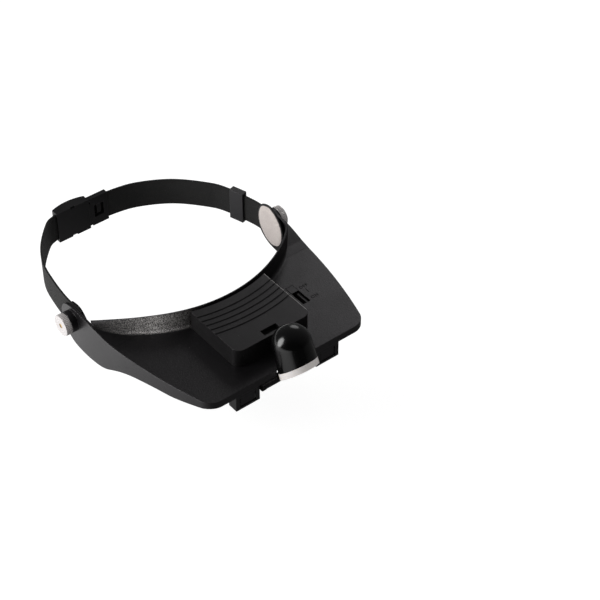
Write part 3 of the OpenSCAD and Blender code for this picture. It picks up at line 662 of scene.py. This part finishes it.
def growPad(name, side, forward, rise, lean, nodeName):
    grow = mm * padShape["bigger"]
    freshStart()
    bpy.ops.mesh.primitive_circle_add(vertices=96, radius=1, fill_type="NGON")
    pad = bpy.context.object
    for vertex in pad.data.vertices:
        turn = math.atan2(vertex.co.y, vertex.co.x)
        reach = padReach(turn) * padShape["startShare"]
        vertex.co = Vector((reach * math.cos(turn), reach * math.sin(turn), 0)) * grow
    bpy.ops.object.mode_set(mode="EDIT")
    bpy.ops.mesh.select_all(action="SELECT")
    bpy.ops.mesh.extrude_region_move(
        TRANSFORM_OT_translate={"value": (0, 0, padValues["edge"] * grow)})
    bpy.ops.mesh.inset(thickness=padShape["rollIn"] * grow, depth=padShape["rollRise"] * grow)
    crown = padValues["foam"] - padValues["edge"] - padShape["rollRise"]
    bpy.ops.mesh.inset(thickness=padShape["crownIn"] * grow, depth=crown * grow)
    bpy.ops.mesh.select_all(action="SELECT")
    bpy.ops.mesh.normals_make_consistent(inside=False)
    bpy.ops.object.mode_set(mode="OBJECT")
    remesh = pad.modifiers.new("skin", "REMESH")
    remesh.mode = "VOXEL"
    remesh.voxel_size = padShape["voxel"] * mm
    applyModifiers(pad)
    before = [vertex.co.copy() for vertex in pad.data.vertices]
    held = pad.vertex_groups.new(name="glued")
    gluedTop = padShape["gluedBelow"] * grow
    held.add([v.index for v in pad.data.vertices if v.co.z < gluedTop], 1.0, "REPLACE")
    cloth = pad.modifiers.new("foam", "CLOTH")
    cloth.settings.quality = 6
    cloth.settings.mass = 0.3
    cloth.settings.use_pressure = True
    cloth.settings.uniform_pressure_force = padShape["pressure"]
    cloth.settings.effector_weights.gravity = 0
    cloth.settings.vertex_group_mass = "glued"
    for frameNumber in range(1, padShape["clothFrames"] + 1):
        bpy.context.scene.frame_set(frameNumber)
    applyModifiers(pad)
    bpy.context.scene.frame_set(1)
    limit = padShape["mostMove"] * mm
    for vertex, start in zip(pad.data.vertices, before):
        move = vertex.co - start
        if move.length > limit:
            vertex.co = start + move * (limit / move.length)
        vertex.co.z = max(vertex.co.z, 0)
    finer = pad.modifiers.new("finer", "SUBSURF")
    finer.levels = finer.render_levels = 1
    applyModifiers(pad)
    tilt = math.radians(lean)
    for vertex in pad.data.vertices:
        across, along, out = vertex.co / padShape["bigger"]
        y = across * math.cos(tilt) + along * math.sin(tilt)
        z = -across * math.sin(tilt) + along * math.cos(tilt)
        vertex.co = (side * (padShape["backFace"] * mm - out), y + forward * mm, z + rise * mm)
    freshStart()
    pad.select_set(True)
    bpy.context.view_layer.objects.active = pad
    bpy.ops.object.mode_set(mode="EDIT")
    bpy.ops.mesh.select_all(action="SELECT")
    bpy.ops.mesh.normals_make_consistent(inside=False)
    bpy.ops.object.mode_set(mode="OBJECT")
    bpy.ops.object.shade_smooth()
    dress(pad, name, padSkin, "headband")
    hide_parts(nodeName)


growPad("temple_cushion_left", 1, -6.5, 1.0, 21.0, "temple_pad_left")
growPad("temple_cushion_right", -1, 0.0, -6.8, 5.0, "temple_pad_right")
print("temple pads grown")


# Studio: pale floor below the lowest pose, a soft box at the wearer's right, one at the left
stageValues = {"floorZ": -0.082, "floorColour": (0.36, 0.36, 0.36), "floorGlow": 0.8,
               "floorMirrored": 0.14, "brightGloss": 1.0, "dimGloss": 0.0, "ambient": 0.5,
               "backGloss": 0.12, "frontGloss": 0.01, "sidePower": 18.0, "rearPower": 0.7,
               "brightSide": (-0.8, 0.6, 0.0), "coveSide": (0.55, 0.65, 0.35)}
freshStart()
bpy.ops.mesh.primitive_plane_add(size=8, location=(0, 0, stageValues["floorZ"]))
floor = bpy.context.object
floor.name = "paleFloor"
floorMaterial, floorTree, floorShader = newMaterial("paleFloor")
floorShader.inputs["Roughness"].default_value = 0.9
floorShader.inputs["Specular IOR Level"].default_value = 0.1
floor.data.materials.append(floorMaterial)
looks = addNode(floorTree, "ShaderNodeLightPath", -500, -200)
floorShader.inputs["Emission Color"].default_value = (1, 1, 1, 1)
spot = addNode(floorTree, "ShaderNodeTexCoord", -1100, -300)
towardsBright = addNode(floorTree, "ShaderNodeVectorMath", -900, -300, operation="DOT_PRODUCT")
floorTree.links.new(spot.outputs["Object"], towardsBright.inputs[0])
towardsBright.inputs[1].default_value = stageValues["brightSide"]
paler = spread(floorTree, towardsBright.outputs["Value"], -0.02, 0.165,
               stageValues["dimGloss"],
               stageValues["brightGloss"])  # the paper is brightest at the wearer's right
floorTree.links.new(mixColours(floorTree, looks.outputs["Is Glossy Ray"],
                               stageValues["floorColour"], (stageValues["floorMirrored"],) * 3),
                    floorShader.inputs["Base Color"])
glow = calc(floorTree, "MAXIMUM",
            calc(floorTree, "MULTIPLY", looks.outputs["Is Camera Ray"], stageValues["floorGlow"]),
            calc(floorTree, "MULTIPLY", looks.outputs["Is Glossy Ray"], paler))
floorTree.links.new(glow, floorShader.inputs["Emission Strength"])

world = bpy.data.worlds.new("studio")
bpy.context.scene.world = world
world.use_nodes = True
worldTree = world.node_tree
background = worldTree.nodes["Background"]
background.inputs["Color"].default_value = (1, 1, 1, 1)
rays = addNode(worldTree, "ShaderNodeLightPath", -600, 0)
seen = calc(worldTree, "MAXIMUM", rays.outputs["Is Camera Ray"],
            rays.outputs["Is Transmission Ray"])
where = addNode(worldTree, "ShaderNodeTexCoord", -900, -300)
towardsBack = addNode(worldTree, "ShaderNodeVectorMath", -700, -300, operation="DOT_PRODUCT")
worldTree.links.new(where.outputs["Generated"], towardsBack.inputs[0])
towardsBack.inputs[1].default_value = stageValues["coveSide"]
mirrored = spread(worldTree, towardsBack.outputs["Value"], -0.4, 0.75, stageValues["frontGloss"],
                  stageValues["backGloss"])  # the cove behind is pale, the room in front is dark
around = calc(worldTree, "MULTIPLY_ADD", rays.outputs["Is Glossy Ray"], calc(
    worldTree, "SUBTRACT", mirrored, stageValues["ambient"]), stageValues["ambient"])
power = calc(worldTree, "MAXIMUM", seen, around)
worldTree.links.new(power, background.inputs["Strength"])


def softBox(name, place, target, width, height, watts):
    freshStart()
    bpy.ops.object.light_add(type="AREA", location=place)
    lamp = bpy.context.object
    lamp.name = name
    lamp.data.shape = "ELLIPSE"
    lamp.data.size = width
    lamp.data.size_y = height
    lamp.data.energy = watts
    direction = Vector(place) - Vector(target)
    lamp.rotation_euler = direction.to_track_quat("Z", "Y").to_euler()


softBox("sideBox", (-1.25, 0.42, 0.52), (0, 0, 0), 0.75, 1.3, stageValues["sidePower"])
softBox("rearBox", (0.56, 0.36, 0.43), (0.07, -0.06, 0), 0.42, 0.42, stageValues["rearPower"])
bpy.context.scene.view_settings.view_transform = "Standard"
print("studio ready")
